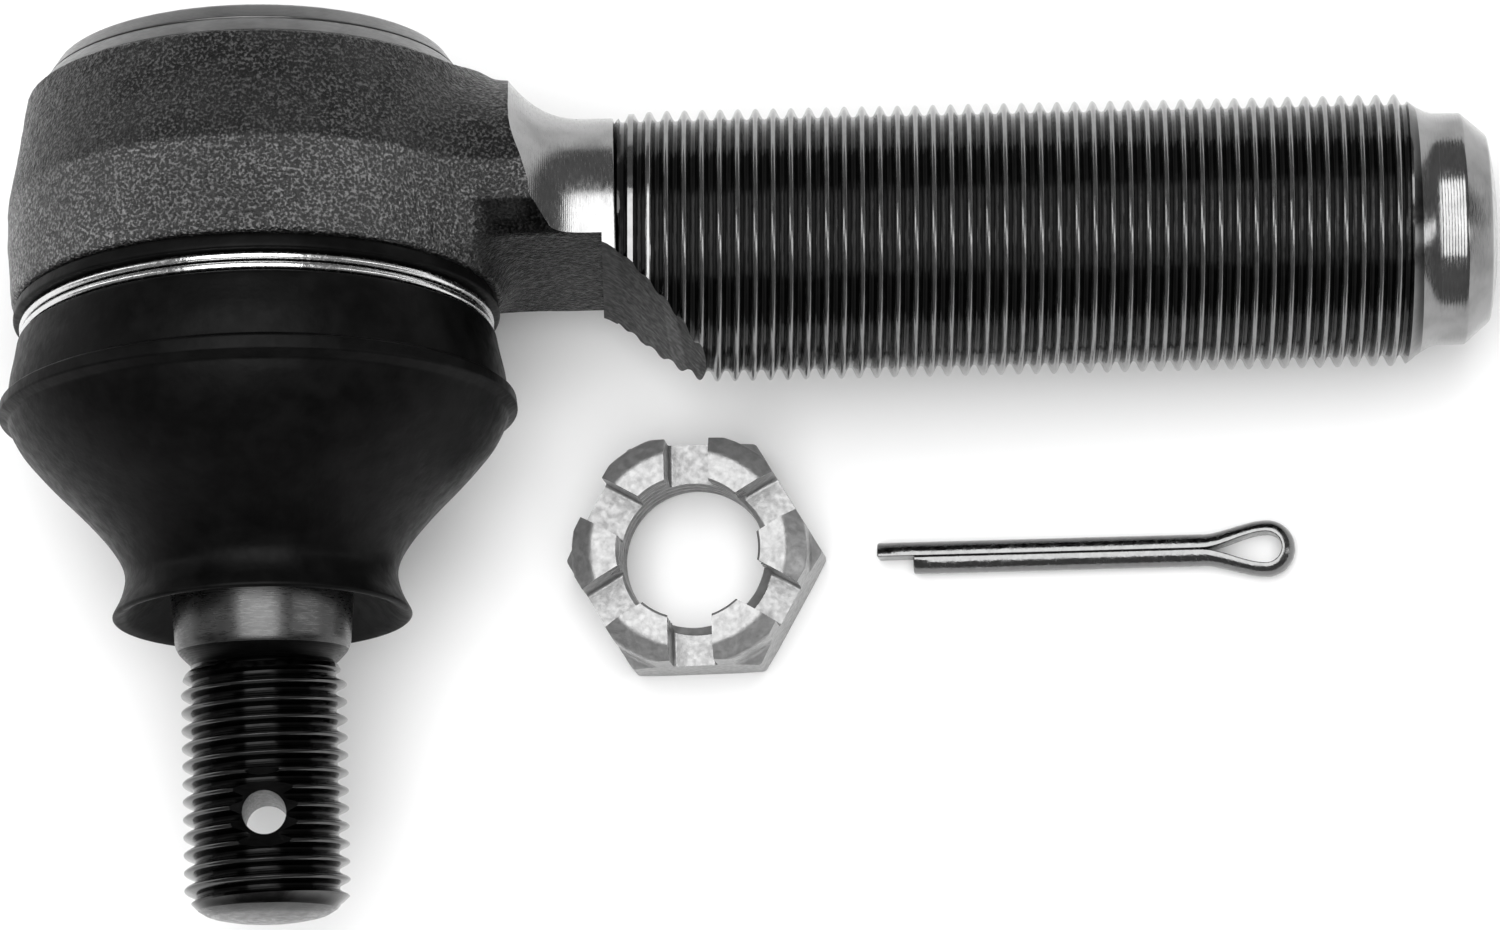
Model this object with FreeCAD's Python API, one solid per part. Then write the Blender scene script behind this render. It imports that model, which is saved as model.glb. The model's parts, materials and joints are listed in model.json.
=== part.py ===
"""Tie rod end lying on its side, with its castle nut and split pin beside it.

Each piece is built about its own axis in a joint frame whose origin is the ball's centre.
There the housing's axis is -Y, from the end cap towards the stud, and the shank's axis is +X.
Then the whole joint is laid down on the flank of its housing and the far end of its thread.
Lengths are in millimetres and angles in degrees.
"""
import FreeCAD, Part
import math
import os

V = FreeCAD.Vector

# driving dimensions: ball, stud and their threads
BALL_R = 12.5
BALL_FLAT_R = 2.2
NECK_R = 6.3
TAPER_BIG_S = 16.8
TAPER_END_S = 35.3
TAPER_SMALL_R = 7.5
TAPER_SLOPE = 1 / 16
STUD_THREAD_R = 7.0
STUD_THREAD_END_S = 54.4
STUD_LEAD = 1.1
STUD_END_S = 56.7
PIN_HOLE_R = 1.85
PIN_HOLE_S = 48.0
PIN_HOLE_MOUTH_R = 3.7
PIN_HOLE_MOUTH_SLOPE = 0.577

# housing head, stations along its axis counted from the ball's centre
RIM_S = -16.9
RIM_R = 16.6
BAND_START_S = -15.4
BAND_START_R = 17.5
BAND_END_S = -13.85
BAND_END_R = 18.7
FORGED_TOP_R = 19.1
CREASE_S = -3.9
BODY_R = 20.9
BODY_EDGE_S = 4.4
SPIGOT_R = 17.6
SPIGOT_END_S = 10.3
BORE_R = 15.5
SHOULDER_S = 7.4
MOUTH_R = 10.4
MOUTH_END_R = 12.6
CAP_SEAT_R = 16.2
CAP_TOP_S = -15.75
CAP_THICK = 2.1
ROLLED_LIP_R = 14.0

# shank, stations along +X from the ball's centre
ARM_R = 14.3
ARM_HALF_WIDTH = 12.5
FLANGE_X = 21.6
NECK_SHANK_R = 10.95
THREAD_START_X = 31.0
THREAD_END_X = 98.0
SHANK_THREAD_R = 11.5
PILOT_R = 9.8
SHANK_END_X = 105.0
RELIEF_Y = -2.1
RELIEF_RAMP_X = 29.4
RELIEF_RAMP_SLOPE = 1.03

# seats, spring and clearances
FIT = 0.05
UPPER_SEAT_TOP_S = -8.6
LOWER_SEAT_TOP_S = 0.3
SPRING_THICK = 0.85
SPRING_OUTER_R = 14.6
SPRING_INNER_R = 10.2

# boot, clip ring and neck ring
BOOT_BEAD_R = 20.6
BOOT_RIB_R = 21.6
CLIP_OUTER_R = 20.1
CLIP_INNER_R = 19.3
CLIP_START_S = 5.98
CLIP_END_S = 7.42
NECK_RING_S = 27.0
NECK_RING_HALF = 0.5
NECK_RING_INNER_R = 8.9
NECK_RING_OUTER_R = 10.0

# loose pieces: castle nut and split pin
NUT_ACROSS_FLATS = 19.0
NUT_HEIGHT = 11.0
NUT_FACE_R = 8.4
NUT_CROWN_R = 10.05
NUT_HEX_TOP = 5.2
NUT_SLOT_WIDTH = 3.8
NUT_SLOT_DEPTH = 4.8
NUT_BORE_R = 6.19
NUT_MOUTH_R = 7.2
NUT_AT = (35.1, -24.8)
PIN_WIRE_R = 1.35
PIN_EYE_HEIGHT = 4.9
PIN_EYE_LENGTH = 9.1
PIN_LONG_LEG = 26.7
PIN_SHORT_LEG = 23.6
PIN_GAP = 0.05
PIN_AT = (77.1, -25.3)
PIN_TURN = -0.55

# how the joint lies: the housing is pitched onto its drafted flank and the stud hangs level
PITCH = 8.7
DROOP = PITCH


def turned(points, closed_on_axis=True):
    """Solid of revolution about Z from (radius, station) points; a 4-tuple adds a mid-arc point."""
    edges = []
    last = V(points[0][0], 0, points[0][1])
    for point in points[1:]:
        here = V(point[-2], 0, point[-1])
        if len(point) == 4:
            edges.append(Part.Arc(last, V(point[0], 0, point[1]), here).toShape())
        else:
            edges.append(Part.LineSegment(last, here).toShape())
        last = here
    first = edges[0].Vertexes[0].Point
    if last.distanceToPoint(first) > 1e-6:
        edges.append(Part.LineSegment(last, first).toShape())
    return Part.Face(Part.Wire(edges)).revolve(V(0, 0, 0), V(0, 0, 1), 360)


def along_stud(shape):
    """Turn a shape built along Z so that its stations run along -Y, towards the stud's end."""
    shape.rotate(V(0, 0, 0), V(1, 0, 0), 90)
    return shape


def along_shank(shape):
    """Turn a shape built along Z so that its stations run along +X."""
    shape.rotate(V(0, 0, 0), V(0, 1, 0), 90)
    return shape


def on_sphere(radius, station):
    """Distance from the axis of a sphere's surface at a station."""
    return math.sqrt(radius**2 - station**2)


def mid_arc(radius, start, end):
    """Point half way round a sphere's outline between two (radius, station) points."""
    angle = (math.atan2(start[1], start[0]) + math.atan2(end[1], end[0])) / 2
    return radius * math.cos(angle), radius * math.sin(angle)


def head():
    """Outside of the housing's head: rolled rim, coned band, drafted body and spigot."""
    return along_stud(turned([
        (0, RIM_S), (RIM_R - 0.2, RIM_S), (RIM_R, RIM_S + 0.2), (BAND_START_R, BAND_START_S),
        (BAND_END_R, BAND_END_S), (FORGED_TOP_R, BAND_END_S + 0.2), (BODY_R, CREASE_S),
        (BODY_R, 0.3), (BODY_R - 0.25, BODY_EDGE_S), (SPIGOT_R, BODY_EDGE_S),
        (SPIGOT_R, SPIGOT_END_S), (0, SPIGOT_END_S),
    ]))


def head_bore():
    """What is bored out of the head: cap recess, seat bore and the stud's mouth."""
    beyond = RIM_S - 1
    return along_stud(turned([
        (0, beyond), (ROLLED_LIP_R, beyond), (ROLLED_LIP_R, CAP_TOP_S - FIT),
        (CAP_SEAT_R, CAP_TOP_S - FIT), (CAP_SEAT_R, CAP_TOP_S + CAP_THICK),
        (BORE_R, CAP_TOP_S + CAP_THICK), (BORE_R, SHOULDER_S), (MOUTH_R, SHOULDER_S),
        (MOUTH_END_R, SPIGOT_END_S), (MOUTH_END_R, SPIGOT_END_S + 1), (0, SPIGOT_END_S + 1),
    ]))


def arm_root():
    """Forged root of the arm: round on top, flat-sided, cut back by the shank's turned fillet."""
    side = ARM_HALF_WIDTH
    shoulder = math.sqrt(ARM_R**2 - side**2)
    section = Part.Wire([
        Part.LineSegment(V(0, RELIEF_Y, -side), V(0, shoulder, -side)).toShape(),
        Part.Arc(V(0, shoulder, -side), V(0, ARM_R, 0), V(0, shoulder, side)).toShape(),
        Part.LineSegment(V(0, shoulder, side), V(0, RELIEF_Y, side)).toShape(),
        Part.LineSegment(V(0, RELIEF_Y, side), V(0, RELIEF_Y, -side)).toShape(),
    ])
    block = Part.Face(section).extrude(V(30, 0, 0))
    envelope = along_shank(turned([
        (0, 0), (25, 0), (25, FLANGE_X), (ARM_R, FLANGE_X),
        (12.3, FLANGE_X + 2, NECK_SHANK_R, FLANGE_X + 6), (NECK_SHANK_R, 30), (0, 30),
    ]))
    return block.common(envelope)


def shank():
    """Turned shank, its thread as a plain cylinder, relieved on the side that faces the boot."""
    bar = along_shank(turned([
        (0, 14), (NECK_SHANK_R, 14), (NECK_SHANK_R, THREAD_START_X - 0.6),
        (SHANK_THREAD_R, THREAD_START_X), (SHANK_THREAD_R, THREAD_END_X),
        (SHANK_THREAD_R - 1.1, THREAD_END_X + 0.9), (PILOT_R, THREAD_END_X + 1.6),
        (PILOT_R, SHANK_END_X - 1.8), (PILOT_R - 1.2, SHANK_END_X - 0.4),
        (PILOT_R - 2.4, SHANK_END_X), (0, SHANK_END_X),
    ]))
    depth = SHANK_THREAD_R + 4
    ramp = (depth + RELIEF_Y) / RELIEF_RAMP_SLOPE
    corners = [V(10, RELIEF_Y, -20), V(RELIEF_RAMP_X, RELIEF_Y, -20),
               V(RELIEF_RAMP_X + ramp, -depth, -20), V(10, -depth, -20)]
    relief = Part.Face(Part.makePolygon(corners + corners[:1])).extrude(V(0, 0, 40))
    return bar.cut(relief)


def housing():
    """The forging: head, arm and shank in one piece."""
    return head().fuse([arm_root(), shank()]).removeSplitter().cut(head_bore())


def end_cap():
    """Pressed steel disc with a shallow dished middle, held by the rolled rim."""
    top, under = CAP_TOP_S, CAP_TOP_S + CAP_THICK
    edge_r = CAP_SEAT_R - FIT
    return along_stud(turned([
        (0, top + 0.5), (7.5, top + 0.5), (8.8, top), (edge_r - 0.3, top), (edge_r, top + 0.3),
        (edge_r, under - FIT), (9.5, under - FIT), (8.2, under + 0.4), (0, under + 0.4),
    ]))


def preload_spring():
    """Conical disc spring between the end cap and the upper seat."""
    wide_s = UPPER_SEAT_TOP_S - FIT
    narrow_s = CAP_TOP_S + CAP_THICK + SPRING_THICK
    return along_stud(turned([
        (SPRING_OUTER_R, wide_s), (SPRING_INNER_R, narrow_s),
        (SPRING_INNER_R, narrow_s - SPRING_THICK), (SPRING_OUTER_R, wide_s - SPRING_THICK),
    ]))


def seat(start, end):
    """Ring with a spherical bowl that holds the ball between two stations."""
    bowl = BALL_R + FIT
    outer = BORE_R - FIT
    first = (on_sphere(bowl, start), start)
    last = (on_sphere(bowl, end), end)
    return along_stud(turned([
        first, (*mid_arc(bowl, first, last), *last), (outer, end), (outer, start),
    ]))


def ball_stud():
    """Ball, neck, 1:8 taper and threaded end in one piece, with the split pin's cross hole."""
    flat = (BALL_FLAT_R, -on_sphere(BALL_R, BALL_FLAT_R))
    leave = (NECK_R, on_sphere(BALL_R, NECK_R))
    big_r = TAPER_SMALL_R + (TAPER_END_S - TAPER_BIG_S) * TAPER_SLOPE
    body = turned([
        (0, flat[1]), flat, (*mid_arc(BALL_R, flat, leave), *leave),
        (NECK_R, TAPER_BIG_S - 3), (big_r, TAPER_BIG_S), (TAPER_SMALL_R, TAPER_END_S),
        (STUD_THREAD_R, TAPER_END_S + 0.6), (STUD_THREAD_R, STUD_THREAD_END_S),
        (STUD_THREAD_R - 0.2, STUD_END_S - STUD_LEAD), (STUD_THREAD_R - 1.3, STUD_END_S), (0, STUD_END_S),
    ])
    reach = STUD_THREAD_R + 1
    hole = Part.makeCylinder(PIN_HOLE_R, 2 * reach, V(0, -reach, PIN_HOLE_S), V(0, 1, 0))
    above = 0.6
    depth = (PIN_HOLE_MOUTH_R - PIN_HOLE_R) * PIN_HOLE_MOUTH_SLOPE
    top_r = PIN_HOLE_MOUTH_R + above / PIN_HOLE_MOUTH_SLOPE
    for side in (-1, 1):
        start = V(0, side * (STUD_THREAD_R + above), PIN_HOLE_S)
        hole = hole.fuse(Part.makeCone(top_r, PIN_HOLE_R, depth + above, start, V(0, -side, 0)))
    return along_stud(body.cut(hole))


def bend(shape, share):
    """Turn a boot section about the ball's centre by its share of the stud's droop."""
    shape.rotate(V(0, 0, 0), V(1, 0, 0), DROOP * share)
    return shape


def boot_share(station):
    """Share of the stud's tilt that the boot has taken up at a station: 0 at the clip, 1 at the lip."""
    way = min(max((station - 8) / 17, 0), 1)
    return way * way * (3 - 2 * way)


def boot_skin(sections):
    """Closed solid through round sections (station, radius), each tilted by its share."""
    wires = []
    for station, radius in sections:
        circle = Part.makeCircle(radius, V(0, 0, station), V(0, 0, 1))
        wires.append(bend(along_stud(Part.Wire(circle)), boot_share(station)))
    return Part.makeLoft(wires, True, True)


def dust_boot():
    """Rubber boot: bead, clip groove, rib, cone, neck and flared lip."""
    clear = FIT / 2
    outside = boot_skin([
        (BODY_EDGE_S + clear, BOOT_BEAD_R), (CLIP_START_S - clear, BOOT_BEAD_R),
        (CLIP_START_S - clear + 0.01, CLIP_INNER_R - FIT),
        (CLIP_END_S + clear, CLIP_INNER_R - FIT), (CLIP_END_S + clear + 0.01, 20.05),
        (11.9, 20.7), (12.2, BOOT_RIB_R), (14.5, BOOT_RIB_R), (14.9, 21.0), (16.9, 19.7),
        (19.5, 17.6), (22.1, 14.9), (24.7, 12.6), (26.9, 11.2), (29.1, 11.5), (31.0, 12.3),
    ])
    inside = boot_skin([
        (BODY_EDGE_S - 1, SPIGOT_R + 3 * FIT), (10.9, SPIGOT_R + 3 * FIT), (14.5, 18.8),
        (16.9, 17.7), (19.5, 15.5), (22.1, 12.8), (24.7, 10.4), (25.9, 8.5),
        (28.0, 8.5), (28.9, 9.6), (32.0, 11.3),
    ])
    groove_half = NECK_RING_HALF + FIT
    groove = turned([
        (8.0, NECK_RING_S - groove_half), (NECK_RING_OUTER_R + FIT, NECK_RING_S - groove_half),
        (NECK_RING_OUTER_R + FIT, NECK_RING_S + groove_half), (8.0, NECK_RING_S + groove_half),
    ])
    return outside.cut(inside).cut(bend(along_stud(groove), 1))


def boot_clip_ring():
    """Two-turn spring wire that holds the boot's bead on the spigot, as one rounded ring."""
    middle = (CLIP_START_S + CLIP_END_S) / 2
    wire = (CLIP_OUTER_R - CLIP_INNER_R) / 2
    return along_stud(turned([
        (CLIP_INNER_R + wire, CLIP_START_S), (CLIP_OUTER_R, CLIP_START_S + wire),
        (CLIP_OUTER_R - 0.15, middle), (CLIP_OUTER_R, CLIP_END_S - wire),
        (CLIP_INNER_R + wire, CLIP_END_S), (CLIP_INNER_R, CLIP_END_S - wire),
        (CLIP_INNER_R, CLIP_START_S + wire),
    ]))


def boot_neck_ring():
    """Steel ring that keeps the boot's neck round on the stud."""
    return along_stud(turned([
        (NECK_RING_INNER_R, NECK_RING_S - NECK_RING_HALF),
        (NECK_RING_OUTER_R, NECK_RING_S - NECK_RING_HALF),
        (NECK_RING_OUTER_R, NECK_RING_S + NECK_RING_HALF),
        (NECK_RING_INNER_R, NECK_RING_S + NECK_RING_HALF),
    ]))


def castle_nut():
    """Slotted hexagon nut, slots up, with its flat face on Z = 0 and a corner on +X."""
    corner_r = NUT_ACROSS_FLATS / math.sqrt(3)
    corners = [V(corner_r * math.cos(math.radians(60 * n)),
                 corner_r * math.sin(math.radians(60 * n)), 0) for n in range(6)]
    hexagon = Part.Face(Part.makePolygon(corners + corners[:1])).extrude(V(0, 0, NUT_HEIGHT))
    flat_r = NUT_ACROSS_FLATS / 2
    lug_bevel = (NUT_CROWN_R - NUT_FACE_R) * 0.7
    shoulder = NUT_HEX_TOP + corner_r - NUT_CROWN_R
    barrel = turned([
        (0, 0), (NUT_CROWN_R - 0.5, 0), (corner_r, 0.8), (corner_r, NUT_HEX_TOP),
        (NUT_CROWN_R, shoulder), (NUT_CROWN_R, NUT_HEIGHT - lug_bevel),
        (NUT_FACE_R, NUT_HEIGHT), (0, NUT_HEIGHT),
    ])
    bore = turned([
        (0, -1), (NUT_MOUTH_R + 1, -1), (NUT_BORE_R, NUT_MOUTH_R - NUT_BORE_R),
        (NUT_BORE_R, NUT_HEIGHT - NUT_MOUTH_R + NUT_BORE_R), (NUT_MOUTH_R + 1, NUT_HEIGHT + 1),
        (0, NUT_HEIGHT + 1),
    ])
    nut = hexagon.common(barrel).cut(bore)
    for turn in (30, 90, 150):
        slot = Part.makeBox(3 * flat_r, NUT_SLOT_WIDTH, NUT_SLOT_DEPTH + 1,
                            V(-1.5 * flat_r, -NUT_SLOT_WIDTH / 2, NUT_HEIGHT - NUT_SLOT_DEPTH))
        slot.rotate(V(0, 0, 0), V(0, 0, 1), turn)
        nut = nut.cut(slot)
    return nut


def half_round(side, length):
    """Half-round leg along -X from the origin, flat side towards the other leg."""
    r = PIN_WIRE_R
    flat_y = side * PIN_GAP / 2
    arc = Part.Arc(V(0, flat_y, -r), V(0, flat_y + side * r, 0), V(0, flat_y, r)).toShape()
    chord = Part.LineSegment(V(0, flat_y, r), V(0, flat_y, -r)).toShape()
    return Part.Face(Part.Wire([arc, chord])).extrude(V(-length, 0, 0))


def eye_outline(inset):
    """Pear-shaped outline of the split pin's eye in the XY plane, drawn in by inset."""
    big_r = PIN_EYE_HEIGHT / 2
    centre_x = PIN_EYE_LENGTH - big_r
    start = PIN_WIRE_R - inset
    lean = math.acos((big_r - PIN_WIRE_R) / centre_x)
    r = big_r - inset
    foot = V(start * math.cos(lean), start * math.sin(lean), 0)
    touch = V(centre_x + r * math.cos(lean), r * math.sin(lean), 0)
    mirror = [V(p.x, -p.y, 0) for p in (touch, foot)]
    return Part.Wire([
        Part.LineSegment(foot, touch).toShape(),
        Part.Arc(touch, V(centre_x + r, 0, 0), mirror[0]).toShape(),
        Part.LineSegment(*mirror).toShape(),
        Part.LineSegment(mirror[1], foot).toShape(),
    ])


def cotter_pin():
    """Split pin lying flat along X: two half-round legs, one longer, joined by an eye."""
    outer = Part.Face(eye_outline(0)).extrude(V(0, 0, 2 * PIN_WIRE_R))
    inner = Part.Face(eye_outline(0.95 * PIN_WIRE_R)).extrude(V(0, 0, 2 * PIN_WIRE_R))
    outer.translate(V(0, 0, -PIN_WIRE_R))
    inner.translate(V(0, 0, -PIN_WIRE_R))
    rims = [e for e in outer.Edges if abs(abs(e.CenterOfMass.z) - PIN_WIRE_R) < 1e-6 and e.Length > 3]
    eye = outer.makeFillet(0.7, rims).cut(inner)
    long_leg = half_round(1, PIN_LONG_LEG)
    short_leg = half_round(-1, PIN_SHORT_LEG)
    for leg in (long_leg, short_leg):
        leg.translate(V(0.8, 0, 0))
    pin = eye.fuse([long_leg, short_leg]).removeSplitter()
    pin.rotate(V(0, 0, 0), V(0, 0, 1), PIN_TURN)
    pin.translate(V(PIN_AT[0], PIN_AT[1], PIN_WIRE_R))
    return pin


def lay_down(shapes):
    """Pitch the joint onto its flank and slope its shank until flank and thread meet the floor."""
    def lowest(shape, slope):
        test = shape.copy()
        test.rotate(V(0, 0, 0), V(0, 1, 0), slope)
        return test.optimalBoundingBox(False, False).ZMin

    for shape in shapes:
        shape.rotate(V(0, 0, 0), V(1, 0, 0), -PITCH)
    low, high = 2.0, 9.0
    flank = head()
    flank.rotate(V(0, 0, 0), V(1, 0, 0), -PITCH)
    thread = shank()
    thread.rotate(V(0, 0, 0), V(1, 0, 0), -PITCH)
    for _ in range(18):
        slope = (low + high) / 2
        if lowest(thread, slope) > lowest(flank, slope):
            low = slope
        else:
            high = slope
    for shape in shapes:
        shape.rotate(V(0, 0, 0), V(0, 1, 0), slope)
    height = -lowest(flank, slope)
    for shape in shapes:
        shape.translate(V(0, 0, height))
    return slope, height


def make():
    """Build every node, lay it out and write it; the origin is the middle of the box's underside."""
    joint = {
        "housing": housing(),
        "end_cap": end_cap(),
        "preload_spring": preload_spring(),
        "upper_seat": seat(UPPER_SEAT_TOP_S, -FIT),
        "boot_clip_ring": boot_clip_ring(),
        "lower_seat": seat(LOWER_SEAT_TOP_S, SHOULDER_S - FIT),
        "dust_boot": dust_boot(),
        "boot_neck_ring": bend(boot_neck_ring(), 1),
        "ball_stud": bend(ball_stud(), 1),
    }
    slope, height = lay_down(list(joint.values()))
    nut = castle_nut()
    nut.translate(V(NUT_AT[0], NUT_AT[1], 0))
    nodes = {**joint, "castle_nut": nut, "cotter_pin": cotter_pin()}
    box = Part.makeCompound(list(nodes.values())).optimalBoundingBox(False, False)
    shift = V(-(box.XMin + box.XMax) / 2, -(box.YMin + box.YMax) / 2, 0)
    os.makedirs("parts", exist_ok=True)
    for name, shape in nodes.items():
        shape.translate(shift)
        solids = shape.Solids
        whole = solids[0] if len(solids) == 1 else Part.makeCompound(solids)
        whole.exportStep(f"parts/{name}.step")
        print(f"{name}: {len(solids)} solid, valid {whole.isValid()}, {whole.Volume:.1f} mm3")
    print(f"slope {slope:.4f} deg, ball centre {[round(c, 4) for c in (shift.x, shift.y, height)]}")
    print(f"box {box.XLength:.3f} x {box.YLength:.3f} x {box.ZLength:.3f}, underside {box.ZMin:.5f}")


make()
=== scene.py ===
"""Looks of the tie rod end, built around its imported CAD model.

Shapes are drawn in millimetres in a joint frame whose origin is the ball's centre: +X runs along
the shank and -Y along the axis of the piece, from the end cap towards the stud's threaded end.
The record's joints say where that frame lies. Stations are distances from the ball's centre.
"""
import json
import math

import bmesh
import bpy
import numpy as np
from mathutils import Matrix, Vector, noise


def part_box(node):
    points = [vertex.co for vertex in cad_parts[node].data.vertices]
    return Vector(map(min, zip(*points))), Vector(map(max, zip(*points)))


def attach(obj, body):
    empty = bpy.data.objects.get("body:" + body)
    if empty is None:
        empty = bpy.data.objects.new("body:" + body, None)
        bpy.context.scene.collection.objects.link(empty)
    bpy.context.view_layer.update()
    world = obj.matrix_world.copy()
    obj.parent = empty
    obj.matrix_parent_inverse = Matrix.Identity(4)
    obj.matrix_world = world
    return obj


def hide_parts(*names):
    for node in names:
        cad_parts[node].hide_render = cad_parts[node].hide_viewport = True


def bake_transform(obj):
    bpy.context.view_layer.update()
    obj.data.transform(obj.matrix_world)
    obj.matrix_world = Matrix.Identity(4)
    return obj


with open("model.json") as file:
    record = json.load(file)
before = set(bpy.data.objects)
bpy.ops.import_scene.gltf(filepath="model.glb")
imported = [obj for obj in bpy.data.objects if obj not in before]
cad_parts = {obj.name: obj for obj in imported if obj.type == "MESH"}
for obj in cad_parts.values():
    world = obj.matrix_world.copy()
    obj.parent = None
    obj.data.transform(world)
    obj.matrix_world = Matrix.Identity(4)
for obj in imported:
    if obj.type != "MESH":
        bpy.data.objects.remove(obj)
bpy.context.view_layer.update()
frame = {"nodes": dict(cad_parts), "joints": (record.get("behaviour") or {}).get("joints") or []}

MM = 0.001
AROUND = 160

# head of the housing
RIM_S = -16.9
RIM_R = 16.6
BAND_START_S = -15.4
BAND_START_R = 17.5
FORGED_TOP_S = -13.85
BAND_END_R = 18.7
FORGED_TOP_R = 19.15
CREASE_S = -3.9
BODY_R = 20.9
BODY_EDGE_S = 4.38
PARTING_Y = 0.8
FORGED_BORE_R = 16.6
SOCKET_R = 17.2
SPIGOT_R = 17.6
SPIGOT_END_S = 10.3
BORE_R = 15.5
CAP_SEAT_R = 16.2
CAP_TOP_S = -15.75
CAP_THICK = 2.1

# arm, neck and shank
ARM_R = 14.3
ARM_HALF_WIDTH = 12.5
ARM_START_X = 15.8
NECK_R = 10.95
NECK_FILLET_RISE = 3.35
NECK_FILLET_START_X = 21.7
NECK_FILLET_END_X = 28.4
NECK_SEAM_X = 29.3
THREAD_START_X = 30.55
THREAD_END_X = 98.2
THREAD_CREST_X = 32.1
SHANK_R = 11.5
PITCH = 1.5
THREAD_DEPTH = 0.92
PILOT_R = 9.8
SHANK_END_X = 105.0
DENTS_END_X = 27.0
DENTS_FADE = 3.0
RELIEF_Y = -2.1
RELIEF_RAMP_X = 29.4
RELIEF_RAMP_SLOPE = 1.03

# ball stud
BALL_R = 12.5
BALL_FLAT_R = 2.2
STUD_NECK_R = 6.3
TAPER_BIG_S = 16.8
TAPER_END_S = 34.9
TAPER_SMALL_R = 7.4
STUD_R = 7.0
STUD_THREAD_END_S = 55.6
STUD_END_S = 56.7
PIN_HOLE_S = 48.0
PIN_HOLE_R = 1.85
PIN_HOLE_MOUTH_R = 4.0
COUNTERSINK_SLOPE = 0.577

# boot and clip
BOOT_BEND_START_S = 8.0
BOOT_BEND_END_S = 25.0
LIP_SAG = math.radians(5)
LIP_SAG_START_S = 26.0
LIP_SAG_END_S = 30.0
CLIP_WIRE_R = 0.35
CLIP_R = 19.7
CLIP_FIRST_S = 6.32
CLIP_PITCH = 0.84

# loose pieces
NUT_ACROSS_FLATS = 19.0
NUT_HEIGHT = 11.0
NUT_FACE_R = 8.4
NUT_CROWN_R = 10.05
NUT_HEX_TOP = 5.2
NUT_SLOT_WIDTH = 3.8
NUT_SLOT_DEPTH = 4.8
NUT_BORE_R = 6.19
NUT_MOUTH_R = 7.2
NUT_TAP_START = -2.0
NUT_FIRST_CREST = 0.4
PIN_WIRE_R = 1.35
PIN_EYE_LENGTH = 9.1
PIN_EYE_X = 6.65
PIN_EYE_HOLE_R = 1.33
PIN_EYE_THICK = 1.1
PIN_LONG_LEG = 26.6
PIN_SHORT_LEG = 23.5
PIN_TURN = math.radians(-0.55)

# camera: its aim lies this far from the ball's centre on the table, and this high above it, in metres
CAMERA_AZIMUTH = math.radians(-31.859)
CAMERA_ELEVATION = math.radians(80.217)
CAMERA_ROLL = math.radians(-33.634)
CAMERA_AIM_X = 0.0405465
CAMERA_AIM_Y = -0.0178526
CAMERA_AIM_HEIGHT = 0.01057
CAMERA_DISTANCE = 1.0613
CAMERA_LENS_MM = 300

joints = {joint["name"]: joint for joint in frame["joints"]}
BALL = Vector(joints["stud_turn"]["pos_m"])
HOUSING_AXIS = Vector(joints["stud_turn"]["axis"])
SHANK_AXIS = Vector(joints["stud_tilt"]["axis"])
STUD_AXIS = Vector(joints["stud_spin"]["axis"])
DROOP = HOUSING_AXIS.angle(STUD_AXIS)


def joint_frame(piece_axis):
    """Place of the joint frame: +X along the shank, -Y along the piece's own axis."""
    y = -piece_axis
    turn = Matrix((SHANK_AXIS, y, SHANK_AXIS.cross(y))).transposed().to_4x4()
    return Matrix.Translation(BALL) @ turn


HOUSING_FRAME = joint_frame(HOUSING_AXIS)
STUD_FRAME = joint_frame(STUD_AXIS)


# ---------------------------------------------------------------- node materials

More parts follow.
